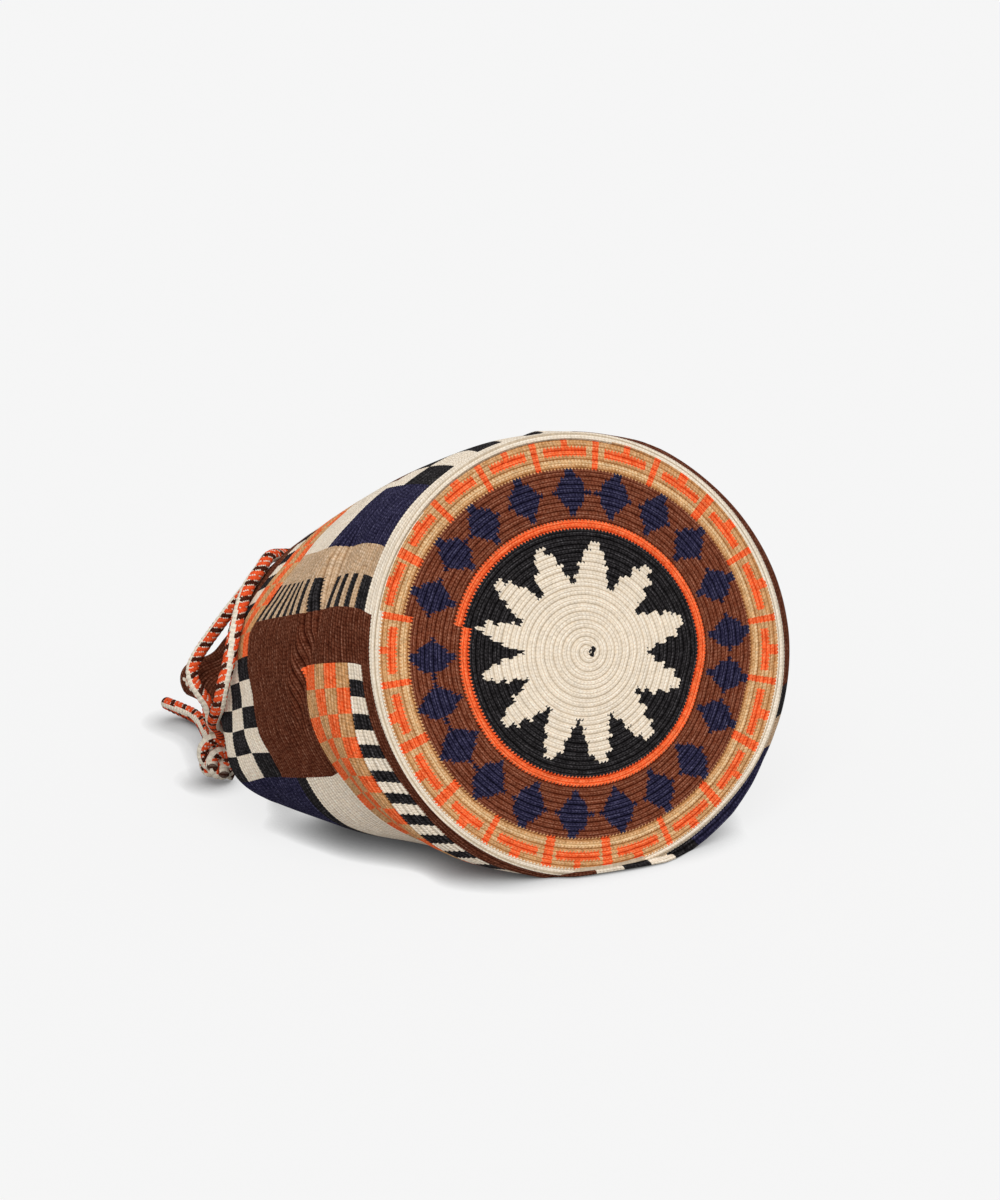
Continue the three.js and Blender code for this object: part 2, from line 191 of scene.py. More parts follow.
class Shell:
    """Ungathered wall as a table over height and share of the round, read by bilinear interpolation.

    Each section is a pair of half superellipses; its points are respaced by arc length from the top.
    """

    def __init__(self, heights=421, shares=768):
        self.heights, self.shares = heights, shares
        fields = self.fields(np.linspace(0, 1, heights))
        left, right, middle, top, bottom, upper, lower, waist = (fields[:, i:i + 1] for i in range(2, 10))
        angle = np.linspace(0, 2 * np.pi, 1441)
        power = 2 / np.where(np.cos(angle) > 0, upper, lower)
        across = np.sign(np.sin(angle)) * np.abs(np.sin(angle)) ** power
        up = np.sign(np.cos(angle)) * np.abs(np.cos(angle)) ** power
        x = RADIUS * (middle + across * np.where(across > 0, right - middle, left + middle))
        z = RADIUS * (bottom + (top - bottom) * (waist + up * np.where(up > 0, 1 - waist, waist)))
        steps = np.hypot(np.diff(x), np.diff(z))
        along = np.concatenate([np.zeros((heights, 1)), np.cumsum(steps, 1)], 1)
        along /= along[:, -1:]
        q = np.arange(shares) / shares
        self.x = np.stack([np.interp(q, along[i], x[i]) for i in range(heights)])
        self.z = np.stack([np.interp(q, along[i], z[i]) for i in range(heights)])
        tx = np.roll(self.x, -2, 1) - np.roll(self.x, 2, 1)
        tz = np.roll(self.z, -2, 1) - np.roll(self.z, 2, 1)
        size = np.hypot(tx, tz)
        self.tx, self.tz = tx / size, tz / size
        self.run, self.lean = fields[:, 0] * HEIGHT, np.tan(np.radians(fields[:, 1]))

    @staticmethod
    def fields(s):
        """Monotone cubic through the sections, with harmonic-mean slopes."""
        x, y = SECTIONS[:, 0], SECTIONS[:, 1:]
        h = np.diff(x)[:, None]
        d = np.diff(y, axis=0) / h
        near, far = 2 * h[1:] + h[:-1], h[1:] + 2 * h[:-1]
        with np.errstate(divide="ignore", invalid="ignore"):
            inner = np.where(d[:-1] * d[1:] > 0, (near + far) / (near / d[:-1] + far / d[1:]), 0)
        slope = np.concatenate([d[:1], inner, d[-1:]])
        i = np.clip(np.searchsorted(x, s, side="right") - 1, 0, len(x) - 2)
        t = ((s - x[i]) / h[i, 0])[:, None]
        return ((2 * t**3 - 3 * t**2 + 1) * y[i] + (t**3 - 2 * t**2 + t) * h[i] * slope[i]
                + (3 * t**2 - 2 * t**3) * y[i + 1] + (t**3 - t**2) * h[i] * slope[i + 1])

    def read(self, table, q, s):
        """Bilinear value of one table at share q of the round and height s."""
        row = np.clip(s, 0, 1) * (self.heights - 1)
        i = np.minimum(row.astype(int), self.heights - 2)
        column = (q % 1) * self.shares
        j = column.astype(int) % self.shares
        a, b, k = row - i, column - np.floor(column), (j + 1) % self.shares
        low = table[i, j] * (1 - b) + table[i, k] * b
        high = table[i + 1, j] * (1 - b) + table[i + 1, k] * b
        return low * (1 - a) + high * a

    def wall(self, q, s, depth, gathered=True):
        """Point of the wall, depth inside its outer face.

        Gathers are a cosine round the neck that slants past the eyelets; the crease is a Gaussian hollow and
        the fold before it a Gaussian swelling to the left; the floor flattens what lies under it. The first
        rows follow the base's uneven edge.
        """
        x, z = self.read(self.x, q, s), self.read(self.z, q, s)
        tx, tz = self.read(self.tx, q, s), self.read(self.tz, q, s)
        inset = depth + np.zeros_like(x)
        if gathered:
            wave = np.cos(2 * np.pi * GATHERS * (q - TIE - SLANT * smooth(EYELETS, 1, s)))
            inset += GATHER_DEPTH * smooth(GATHER_START, GATHER_END, s) * wave
            inset += CREASE_DEPTH * np.exp(-((s - CREASE_AT) / CREASE_RUN) ** 2
                                           - ((q * 360 - CREASE_ANGLE) / CREASE_SPAN) ** 2)
        x, z = x + tz * inset, z - tx * inset
        if gathered:
            angle = q % 1 * 360
            crest = BULGE_AT + BULGE_RISE * (angle - CREASE_ANGLE)
            reach = np.where(s < crest, BULGE_BELOW, BULGE_ABOVE)
            x = x - BULGE_DEPTH * smooth(0, 0.03, s) * np.exp(-((s - crest) / reach) ** 2) * (
                smooth(*BULGE_START, angle) * (1 - smooth(*BULGE_END, angle)))
        z = np.maximum(z - FLOOR_PRESS * (1 - smooth(0.55, EYELETS, s)), np.maximum(depth, 0))
        grid = np.linspace(0, 1, self.heights)
        point = np.stack([x, np.interp(s, grid, self.run) + z * np.interp(s, grid, self.lean), z], -1)
        if gathered:
            angle = 2 * np.pi * q
            edge = np.ones_like(angle)
            tuck = self.base(edge, angle, 0) - self.base(edge, angle, 0, False)
            point = point + tuck * (1 - smooth(0, 0.045, s))[..., None]
        return point

    @staticmethod
    def base(share, angle, out, uneven=True):
        """Point of the leaning base disc, out along its face's normal. Its rounds wander a little from true
        circles, and what would lie under the floor is pushed forward."""
        if uneven:
            rim = smooth(0.93, 1, share)
            inner = at_angle(RING_TABLE, angle) * smooth(0, 0.55, share)
            share = share + inner * (1 - rim) + at_angle(EDGE_TABLE, angle) * rim
        up = RADIUS * (1 + share * np.cos(angle)) * np.cos(LEAN) - FLOOR_PRESS
        z = np.maximum(up, 0)
        drift = np.interp(share, [0, 0.2, 0.35, 0.5], [1.5, 0.3, -0.4, 0]) if uneven else 0
        y = z * np.tan(LEAN) - out * np.cos(LEAN) - (1.5 * (z - up) if uneven else 0)
        x = RADIUS * share * np.sin(angle) + drift
        return np.stack([x, y, np.maximum(z + out * np.sin(LEAN), 0)], -1)


RING_TABLE = 0.001 * round_table(RING_ANGLES, RING_SHIFTS)
EDGE_TABLE = 0.001 * round_table(EDGE_ANGLES, EDGE_SHIFTS)
SHELL = Shell()


def nearest(angle, marks):
    """Distance in degrees to the nearest mark."""
    return np.abs((angle[..., None] - marks + 180) % 360 - 180).min(-1)


def base_yarn(round_, angle):
    """Yarn of a base stitch, from the middle out: stepped star, ring, diamonds, bars and tees, pale edge."""
    marks = np.concatenate([NOTCH_ANGLES[-1:] - 360, NOTCH_ANGLES, NOTCH_ANGLES[:1] + 360])
    i = np.clip(np.searchsorted(marks, angle % 360, side="right") - 1, 0, len(marks) - 2)
    gap = marks[i + 1] - marks[i]
    notch = np.minimum(angle % 360 - marks[i], marks[i + 1] - angle % 360) / (gap / 2)
    step = np.select([round_ < 15, round_ < 17, round_ < 20, round_ < 23, round_ < 25],
                     [-1, 0.16, 0.34, 0.57, 0.8], 2)
    half = np.interp(round_, [30, 31, 32, 33, 34, 35, 36, 37, 38, 39, 40, 41],
                     [-1, 1.3, 1.6, 3.5, 4.6, 5.2, 7.2, 5.2, 4.6, 3.5, 1.7, 1.3])
    hole = (round_ < 1) & (nearest(angle, np.array([100.0])) < 80)
    star = np.where((notch < step) | hole, BLACK, CREAM)
    diamonds = np.where(nearest(angle, DIAMOND_ANGLES) < half, NAVY, BROWN)
    bar = nearest(angle, BAR_ANGLES)
    stems = (BAR_ANGLES + np.append(BAR_ANGLES[1:], BAR_ANGLES[0] + 360)) / 2
    tee = ((round_ >= 45) & (round_ <= 46) & (bar > 2.9)) | ((round_ >= 47) & (nearest(angle, stems) < 1.3))
    band = np.where((bar < 1.05) | tee, ORANGE, np.where(round_ % 3 == 1, PALE, TAN))
    return np.select([round_ < 28, round_ < 30, round_ < 42, round_ < 49],
                     [star, ORANGE, diamonds, band], CREAM)


def wall_yarn(round_, stitch):
    """Yarn of a wall stitch. The layout repeats twice round; u counts stitches from its start underneath.

    Blocks are chequers of small cells (4 stitches) and larger ones (6 or more), plain fields and two-round
    stripes. Four belts of rounds lie over each other, and a zigzag runs along the frill but for one stretch.
    """
    u = (stitch - UNDERNEATH) % (STITCHES // 2)
    n = round_
    small, large = (91 - u) // 4, (91 - u) // 6
    two_tone = np.where(small % 2 == 0, CREAM, BLACK)
    column = np.select([n < 14, n < 18, n < 22], [0, 1, 2], 3)
    warm = np.where((large + column) % 2 == 0, TAN, ORANGE)
    stripes = np.where((n < 8) | ((n - 10) % 4 < 2), BLACK, STRAW)
    checks = np.where(((u - 65) // 6.6 + (n - 52) // 8) % 2 == 0, BLACK, CREAM)
    end = np.where(stitch < UNDERNEATH, 159, 146)
    top_checks = np.where(((u - end) // 8.2 + (n > 17)) % 2 == 0, BLACK, CREAM)
    warm_high = np.where(((u - 98) // 6 + (n - 52) // 4) % 2 == 0, ORANGE, TAN)
    two_tone_high = np.where((u // 4) % 2 == 0, CREAM, BLACK)
    first = np.select(
        [u < 92, u < 106, u < 115, u < 124, u < end],
        [np.select([n < 5, n < 10], [SHADED_BROWN, two_tone], warm), SHADED_BROWN, stripes, STRAW, NAVY], top_checks)
    second = np.select(
        [u < 65, u < 106, u < 115, u < 124, u < 150],
        [np.select([n < 41, n < 45], [CREAM, BLACK], NAVY), SHADED_BROWN, stripes, STRAW, CREAM], SHADED_BROWN)
    third = np.select([u < 65, u < 98], [NAVY, checks],
                      np.select([n < 64, n < 69], [warm_high, two_tone_high], SHADED_BROWN))
    zigzag = np.abs((u % 8) - 4) + 102
    rim = np.where((n >= zigzag) & (n < zigzag + 3) & ((u < 97) | (u > 124)), CREAM, SHADED_BROWN)
    edge = np.where((u < 106) | (stitch < UNDERNEATH), 1, 4)
    return np.select([n < edge, n < 27, n < 52, n < 76, n < 100], [CREAM, first, second, third, SHADED_BROWN], rim)


def add_mesh(name, points, faces, colours, uv, material):
    """Mesh object from whole arrays: points in mm in the working frame, faces by corner index, two colours a
    face, its own yarn and that of the round above, and corner coordinates in stitches and rounds."""
    mesh = bpy.data.meshes.new(name)
    mesh.from_pydata((points + SHIFT) * MM, [], faces)
    sides = faces.shape[1]
    for label, rgb in (("yarn", colours[:, :3]), ("yarn_above", colours[:, 3:])):
        layer = mesh.color_attributes.new(label, "FLOAT_COLOR", "CORNER")
        rgba = np.concatenate([rgb, np.ones((len(rgb), 1))], 1)
        layer.data.foreach_set("color", np.repeat(rgba, sides, 0).astype(np.float32).ravel())
    layer = mesh.uv_layers.new(name="stitches")
    layer.data.foreach_set("uv", uv.astype(np.float32).ravel())
    mesh.shade_smooth()
    mesh.materials.append(material)
    mesh.update()
    piece = bpy.data.objects.new(name, mesh)
    bpy.context.scene.collection.objects.link(piece)
    return piece


def corner_grid(left, right, v0, v1, order):
    """Corner coordinates of a grid of quads from their borders. Order picks corners out of left low, right
    low, right high and left high."""
    corners = [np.stack(pair, -1) for pair in ((left, v0), (right, v0), (right, v1), (left, v1))]
    return np.stack([corners[i] for i in order], -2).reshape(-1, 4, 2)


def yarn_colours(index, round_, stitch, settings):
    """Linear colour of each stitch: its yarn, a little lighter or darker from stitch to stitch."""
    index, round_, stitch = index.ravel(), round_.ravel(), stitch.ravel()
    palette = np.array([settings.cream, settings.black, settings.orange, settings.brown, settings.navy,
                        settings.tan, settings.pale_tan, settings.straw, settings.shaded_brown])
    scatter = np.sin(12.9898 * stitch + 78.233 * round_) * 43758.5453
    spread = np.where(index == CREAM, 0.12, 0.3)
    shade = 1 + spread * (scatter - np.floor(scatter) - 0.5) + 0.03 * np.sin(2.4 * round_)
    return palette[index] * shade[:, None]


def make_base(settings, material):
    """Spiral disc: share of the radius is (round + 2 parts of the turn) / rounds, so a pair of rounds runs on
    into the next at the seam. Relief raises the middle of a round and is deepest between pairs. Rows past the
    middle or the edge fold onto it and their flat faces are dropped. A plain inner face closes the disc."""
    columns = np.arange(STITCHES + 1)
    spare = TURN_ROUNDS * ROWS
    rows = np.arange(-spare, (BASE_ROUNDS + 1) * ROWS)
    level = rows / ROWS
    turn = columns / STITCHES
    raw = level[:, None] + TURN_ROUNDS * turn[None, :]
    share = np.clip(raw, 0, BASE_ROUNDS) / BASE_ROUNDS
    lean = 0.35 * (level % 1 - 0.5)[:, None] / STITCHES
    angle = np.radians(SEAM - 360 * (turn[None, :] + lean))
    deep = np.where((rows // ROWS) % 2 == 0, 1.6, 0.6)
    crest = np.where(rows % ROWS == 0, -1.4 * deep, 0.7)[:, None]
    relief = settings.base_relief * crest * smooth(0, 0.02, share) * smooth(1, 0.992, share)
    points = SHELL.base(share, angle, DOME * (1 - share**2) + relief).reshape(-1, 3)
    count = STITCHES + 1
    low = np.argmax(raw > 0, 0) - 1
    high = np.argmax(raw >= BASE_ROUNDS, 0)
    line = np.clip(np.arange(len(rows))[:, None], np.maximum(low, 0)[None, :], high[None, :])
    ids = line * count + columns[None, :]
    ids[raw <= 0] = 0
    wrapped = np.roll(ids[:, 0], -spare)
    wrapped[-spare:] = ids[-1, 0]
    ids[:, -1] = wrapped
    a, b, c, d = ids[:-1, :-1], ids[:-1, 1:], ids[1:, 1:], ids[1:, :-1]
    round_ = np.maximum(rows[:-1] // ROWS, 0)[:, None] * np.ones_like(a)
    edge_row = raw[:-1, :-1] > BASE_ROUNDS - 1.5
    around = np.maximum(np.round(STITCHES * (round_ + 0.7) / BASE_ROUNDS), 6)
    left, right = turn[None, :-1] * around, turn[None, 1:] * around
    v0, v1 = level[:-1, None] * np.ones_like(left), level[1:, None] * np.ones_like(left)
    stitch = np.floor((left + right) / 2)
    place = np.where(round_ < 28, SEAM - 360 * (stitch + 0.5) / around,
                     SEAM - 360 * (columns[None, :-1] + 0.5) / STITCHES) % 360
    quads = np.stack([a, d, c, b], -1).reshape(-1, 4)
    corners = corner_grid(left, right, v0, v1, (0, 3, 2, 1))
    colours = np.concatenate(
        [yarn_colours(np.where(edge_row, CREAM, base_yarn(r, place)), r, stitch, settings)
         for r in (round_, np.minimum(round_ + 1, BASE_ROUNDS))], 1)
    triangles = np.concatenate([quads[:, [0, 1, 2]], quads[:, [0, 2, 3]]])
    uv = np.concatenate([corners[:, [0, 1, 2]], corners[:, [0, 2, 3]]])
    colours = np.concatenate([colours, colours])
    keep = (triangles != np.roll(triangles, 1, 1)).all(1)
    triangles, uv, colours = triangles[keep], uv[keep], colours[keep]
    edge, first = ids[-1, :-1], len(points)
    inner = first + np.arange(STITCHES)
    inside = np.full(STITCHES, -settings.fabric)
    points = np.concatenate([points, SHELL.base(np.full(STITCHES, 0.985), angle[-1, :-1], inside),
                             SHELL.base(np.zeros(1), np.zeros(1), np.array([DOME - settings.fabric]))])
    middle = np.full(STITCHES, first + STITCHES)
    ring = np.concatenate([np.stack([edge, np.roll(inner, -1), np.roll(edge, -1)], -1),
                           np.stack([edge, inner, np.roll(inner, -1)], -1),
                           np.stack([inner, middle, np.roll(inner, -1)], -1)])
    triangles = np.concatenate([triangles, ring])
    uv = np.concatenate([uv, np.full((len(ring), 3, 2), 0.5)])
    colours = np.concatenate([colours, np.tile(settings.cream, (len(ring), 2))])
    used, triangles = np.unique(triangles, return_inverse=True)
    return add_mesh("base_disc", points[used], triangles.reshape(-1, 3), colours, uv, material)


def rows_drawn(level, angle):
    """Height, in rounds, at which a round lies: on the left a fold takes up part of the fabric, so the rounds
    about number 52 lie closer to the base than counted."""
    taken = np.interp(angle, TAKEN_ANGLES, TAKEN_ROUNDS)
    return level - taken * np.interp(level, [30, 52, 66, 104], [0, 1, 1.1, 0])


def fold_over(level, angle):
    """Slack on the left: how far the fabric stands out, in mm, and how far it is pulled round, in stitches.

    Before the fold's line it lies in a hollow and is pulled up, past the line it stands out and is pulled
    down; both die away as Gaussians. Beside the knot a corner stands out, below it the wall is drawn in, and
    one hollow of the frill is filled. Rounds beside the corner slant.
    """
    past = level - np.interp(angle, FOLD_ANGLES, FOLD_ROUNDS)
    over = smooth(-2.4, 1.8, past)
    there = smooth(258, 272, angle) * (1 - smooth(298, 314, angle))
    crest = 2.8 * over * np.exp(-(np.maximum(past, 0) / 9) ** 2)
    hollow = 4.0 * (1 - over) * np.exp(-(past / 6) ** 2)
    corner = 4.5 * np.exp(-((angle - 251) / 8) ** 2 - ((level - 74) / 14) ** 2)
    drawn = 2.2 * np.exp(-((angle - 230) / 9) ** 2) * smooth(32, 55, level) * (1 - smooth(80, 95, level))
    frill = 8.0 * np.exp(-((angle - 296) / 7) ** 2) * smooth(90, 107, level)
    pull = there * (1.1 - 2.0 * over) * smooth(0, 6, level) * (1 - smooth(45, 70, level))
    slant = np.interp(level, [18, 30, 45, 60, 75, 95], [0, -2.3, 0, 2.2, 3, 0])
    slant = np.exp(-((angle - 248) / 14) ** 2) * slant
    return there * (crest - hollow) + corner - drawn + frill, pull + slant


def lip(points, angle, s):
    """Swelling of the wall right past the base's lower edge, away from the disc's middle in its plane. What
    would lie under the floor is pushed forward and rounded upward."""
    out = np.interp(np.degrees(angle), LIP_ANGLES, LIP_DEPTHS)
    out = out * smooth(0, 0.035, s) * (1 - smooth(0.06, 0.26, s))
    way = np.stack([np.sin(angle), np.cos(angle) * np.sin(LEAN), np.cos(angle) * np.cos(LEAN)], -1)
    points = points + out[..., None] * way
    under = np.maximum(-points[..., 2], 0)
    rise = 3.0 * np.minimum(under / 2, 1) * smooth(0, 0.012, s) * (1 - smooth(0.012, 0.05, s))
    return points + under[..., None] * np.array([0, -1.2, 1.0]) + rise[..., None] * np.array([0, 0, 1.0])


def make_wall(name, first, last, settings, material):
    """Closed band of the wall between two rounds: outer rows with ridges, then plain inner rows back."""
    rows = np.arange(first * ROWS, last * ROWS + 1)
    inner = np.linspace(last, first, (last - first) // 2 + 1)
    level = np.concatenate([rows / ROWS, inner])
    groove = np.where((rows // ROWS) % 2 == 0, -2.0, -0.9)
    crest = np.where(rows % ROWS == 0, groove, 0.7) * smooth(0, 4, rows)
    depth = np.concatenate([-settings.wall_relief * crest, np.full(len(inner), settings.fabric)])
    columns = np.arange(STITCHES)
    q = np.ones((len(level), 1)) * columns[None, :] / STITCHES
    s = rows_drawn(level[:, None], q * 360) / WALL_ROUNDS
    fold, pull = fold_over(level[:, None], q * 360)
    uneven = 0.9 * noise(q * 60, s * 14, 3) * smooth(0, 0.1, s)
    points = SHELL.wall(q + pull / STITCHES, s, depth[:, None] - uneven - fold)
    points = lip(points, 2 * np.pi * q, s)
    count = len(level)
    ids = np.arange(count * STITCHES).reshape(count, STITCHES)
    below = np.roll(ids, -1, 0)
    a, b, c, d = ids, np.roll(ids, -1, 1), np.roll(below, -1, 1), below
    quads = np.stack([a, b, c, d], -1).reshape(-1, 4)
    next_level = np.roll(level, -1)
    round_ = np.clip(np.floor(np.minimum(level, next_level) + 0.01), 0, WALL_ROUNDS - 1).astype(int)
    round_ = round_[:, None] * np.ones((1, STITCHES), int)
    stitch = columns[None, :] * np.ones_like(round_)
    colours = np.concatenate([yarn_colours(wall_yarn(r, stitch), r, stitch, settings)
                              for r in (round_, np.minimum(round_ + 1, WALL_ROUNDS - 1))], 1)
    left, right = stitch.astype(float), stitch + 1.0
    v0, v1 = level[:, None] * np.ones_like(left), next_level[:, None] * np.ones_like(left)
    corners = corner_grid(left, right, v0, v1, (0, 1, 2, 3))
    return add_mesh(name, points.reshape(-1, 3), quads, colours, corners, material)


def catmull(points, per_span=16):
    """Centripetal spline through the points."""
    p = np.concatenate([2 * points[:1] - points[1:2], points, 2 * points[-1:] - points[-2:-1]])
    t = np.concatenate([[0], np.cumsum(np.sqrt(np.linalg.norm(np.diff(p, axis=0), axis=1)))])
    u = np.linspace(0, 1, per_span, endpoint=False)[None, :, None]
    t0, t1, t2, t3 = (t[i:len(t) - 3 + i, None, None] for i in range(4))
    p0, p1, p2, p3 = (p[i:len(p) - 3 + i, None, :] for i in range(4))
    x = t1 + (t2 - t1) * u

    def mix(low, high, start, end):
        return (high - x) / (high - low) * start + (x - low) / (high - low) * end

    a, b, c = mix(t0, t1, p0, p1), mix(t1, t2, p1, p2), mix(t2, t3, p2, p3)
    d, e = mix(t0, t2, a, b), mix(t1, t3, b, c)
    f = mix(t1, t2, d, e)
    return np.concatenate([f.reshape(-1, 3), points[-1:]])


def lengths(points):
    """Length along a line up to each of its points."""
    return np.concatenate([[0], np.cumsum(np.linalg.norm(np.diff(points, axis=0), axis=1))])


def evenly(points, step):
    """Points respaced along their line."""
    along = lengths(points)
    count = max(int(round(along[-1] / step)), 3)
    t = np.linspace(0, along[-1], count + 1)
    return np.stack([np.interp(t, along, points[:, i]) for i in range(3)], -1)


def frames(path, reference, closed):
    """Two normals along a path that turn as little as possible from each point to the next."""
    tangent = np.roll(path, -1, 0) - np.roll(path, 1, 0) if closed else np.gradient(path, axis=0)
    tangent /= np.linalg.norm(tangent, axis=1)[:, None]
    normal = np.empty_like(path)
    last = np.asarray(reference, float)
    for i, way in enumerate(tangent):
        last = last - way * (last @ way)
        last = last / np.linalg.norm(last)
        normal[i] = last
    return normal, np.cross(tangent, normal)


def plait(path, diameter, settings, twist=0.008, turn=0.0, more=((0,), (0,)), reference=(0.0, 0.0, 1.0),
          closed=False, bare=0.9):
    """Tube of plaited cord along a path, as points, faces, colours and corner coordinates.

    Two chains of cream run on opposite sides, where |cos| of the angle round the cord is over bare. They
    start at turn, turn by twist for each millimetre, and by more, a pair of lists of lengths and degrees.
    Between them lie slanted leaves of orange, every third one brown, with a thread of cream between leaves.
    The radius is half the diameter plus beads along the chains and a swelling on each leaf. Open ends have
    flat caps.
    """
    sides = CORD_SIDES
    normal, side = frames(path, reference, closed)
    along = lengths(path)
    theta = np.arange(sides) / sides * 2 * np.pi

    def spin(length):
        return twist * length + turn + np.radians(np.interp(length, *more))

    def pattern(length, angle):
        chain = smooth(bare - 0.05, bare + 0.05, np.abs(np.cos(angle)))
        leaf = length / LEAF + 0.5 * np.cos(angle) / 0.78 * np.sign(np.sin(angle))
        return chain, leaf

    chain, leaf = pattern(along[:, None], theta[None, :] + spin(along[:, None]))
    bead = np.abs(np.sin(np.pi * along / BEAD))[:, None]
    swelling = 0.5 * np.abs(np.sin(np.pi * leaf)) ** 0.7
    radius = diameter / 2 - 0.35 + chain * (0.1 + 0.3 * bead) + (1 - chain) * swelling
    ring = normal[:, None, :] * np.cos(theta)[None, :, None] + side[:, None, :] * np.sin(theta)[None, :, None]
    points = (path[:, None, :] + ring * radius[:, :, None]).reshape(-1, 3)
    ids = np.arange(len(path) * sides).reshape(len(path), sides)
    a, d = (ids, np.roll(ids, -1, 0)) if closed else (ids[:-1], ids[1:])
    faces = np.stack([a, np.roll(a, -1, 1), np.roll(d, -1, 1), d], -1).reshape(-1, 4)
    middle = (along + np.append(along[1:], along[-1]))[:len(a), None] / 2
    chain, leaf = pattern(middle, theta[None, :] + np.pi / sides + spin(middle))
    part = leaf % 1
    palette = np.array([settings.cord_cream, settings.cord_orange, settings.cord_brown])
    index = np.where((chain > 0.5) | (part < 0.12), 0, np.where(np.floor(leaf) % 3 == 0, 2, 1))
    # painted shade and highlight: each bead of the chains and each leaf is darker at its ends, where it meets
    # the next, and lighter in its middle
    light = np.where(chain > 0.5, np.abs(np.sin(np.pi * middle / BEAD)), np.sin(np.pi * part))
    colours = (palette[index] * (0.82 + 0.24 * light)[..., None]).reshape(-1, 3)
    left = np.arange(sides)[None, :] * np.ones_like(middle)
    uv = np.stack([left, middle * np.ones_like(left)], -1).reshape(-1, 1, 2) * np.ones((1, 4, 1))
    if not closed:
        half = np.arange(sides // 2 - 1)
        cap = np.stack([half, half + 1, sides - 2 - half, sides - 1 - half], -1)
        faces = np.concatenate([faces, cap[:, ::-1], cap + len(points) - sides])
        mixed = palette[2:] + 0.1 * (1 + np.sin(5.0 * np.arange(2 * len(cap))))[:, None] * palette[:1]
        colours = np.concatenate([colours, mixed])
        uv = np.concatenate([uv, np.zeros((2 * len(cap), 4, 2))])
    return points, faces, np.tile(colours, 2), uv


def joined(parts):
    """Several tubes as one set of arrays."""
    offset = np.cumsum([0] + [len(p[0]) for p in parts[:-1]])
    return (np.concatenate([p[0] for p in parts]), np.concatenate([p[1] + o for p, o in zip(parts, offset)]),
            np.concatenate([p[2] for p in parts]), np.concatenate([p[3] for p in parts]))


def drawstring_path():
    """One cord: knot, first end back to its eyelet, once round the neck, second end down to the knot again.
    Corners are rounded by a running mean over about 9 mm."""
    q = TIE + (np.arange(46) + 1.5) / 48
    neck = SHELL.wall(q, np.full_like(q, EYELETS), 1.75, gathered=False)
    line = evenly(catmull(np.concatenate([FIRST_END[::-1], neck, SECOND_END])), CORD_STEP)
    reach = 7
    window = np.hanning(2 * reach + 1)
    ends = np.concatenate([np.repeat(line[:1], reach, 0), line, np.repeat(line[-1:], reach, 0)])
    line = np.stack([np.convolve(ends[:, i], window / window.sum(), "valid") for i in range(3)], -1)
    return evenly(line, CORD_STEP)


def knot_parts(settings):
    """Knot seen end on: a wide turn, a small one in front of it, one across behind, two cut tails and a
    strand below. Places are mixed from the directions across, up and front."""
    across, up = np.array([0.925, -0.380, 0.0]), np.array([0.136, 0.330, 0.934])
    front = np.cross(across, up)
    t = np.linspace(0, 2 * np.pi, 56, endpoint=False)[:, None]
    parts = []
    for centre, axis, radius in ((3.4 * up + 0.5 * across + 9.0 * front, front - 0.15 * up, 8.4),
                                 (8.5 * front + 2.8 * across - 2.2 * up, front + 0.4 * across, 6.0),
                                 (3.5 * front - 4.0 * across - 2.5 * up, front - 0.8 * across, 4.6)):
        axis = axis / np.linalg.norm(axis)
        first = np.cross(axis, up)
        first /= np.linalg.norm(first)
        ring = KNOT_CENTRE + centre + radius * (first * np.cos(t) + np.cross(axis, first) * np.sin(t))
        parts.append(plait(ring, 6.6, settings, twist=0.0, turn=-0.9, reference=axis, closed=True, bare=0.8))
    for start, end in ((2 * up - 2.2 * across + 3.0 * front, 14.0 * front - 1.9 * across - 4.4 * up),
                       (3.2 * across + 3.0 * front, 13.0 * front + 4.6 * across - 8.4 * up),
                       (-3.0 * across - 5.0 * up, 3.0 * front + 9.0 * across - 9.6 * up)):
        line = np.stack([start, 0.5 * (start + end) + 0.8 * front, end]) + KNOT_CENTRE
        parts.append(plait(evenly(catmull(line), CORD_STEP), 6.0, settings, reference=up, bare=0.45))
    return parts


def new_material(name):
    """Empty node material with its Principled shader."""
    material = bpy.data.materials.new(name)
    material.use_nodes = True
    return material, material.node_tree, material.node_tree.nodes["Principled BSDF"]


def wire(tree, node, inputs):
    """Link a node's inputs to sockets, or set them to values."""
    for key, value in inputs.items():
        if isinstance(value, bpy.types.NodeSocket):
            tree.links.new(value, node.inputs[key])
        else:
            node.inputs[key].default_value = value


def add_node(tree, kind, inputs=None, **attributes):
    """Shader node with its attributes set and its inputs wired."""
    node = tree.nodes.new("ShaderNode" + kind)
    for name, value in attributes.items():
        setattr(node, name, value)
    wire(tree, node, inputs or {})
    return node


def math(tree, operation, *values):
    """Math node on sockets or numbers."""
    return add_node(tree, "Math", dict(enumerate(values)), operation=operation).outputs[0]


def fibre_noise(tree, scale, detail=3, vector=None):
    """Noise on object coordinates, or on a given vector."""
    if vector is None:
        vector = add_node(tree, "TexCoord").outputs["Object"]
    return add_node(tree, "TexNoise", {"Scale": scale, "Detail": detail, "Vector": vector}).outputs["Fac"]


def relief_group(name):
    """Empty node group that puts out a height, light in the hollows, fuzz and a mask of the round above."""
    group = bpy.data.node_groups.new(name, "ShaderNodeTree")
    for output in ("Height", "Light", "Fuzz", "Above"):
        group.interface.new_socket(output, in_out="OUTPUT", socket_type="NodeSocketFloat")
    return group, group.nodes.new("NodeGroupOutput")


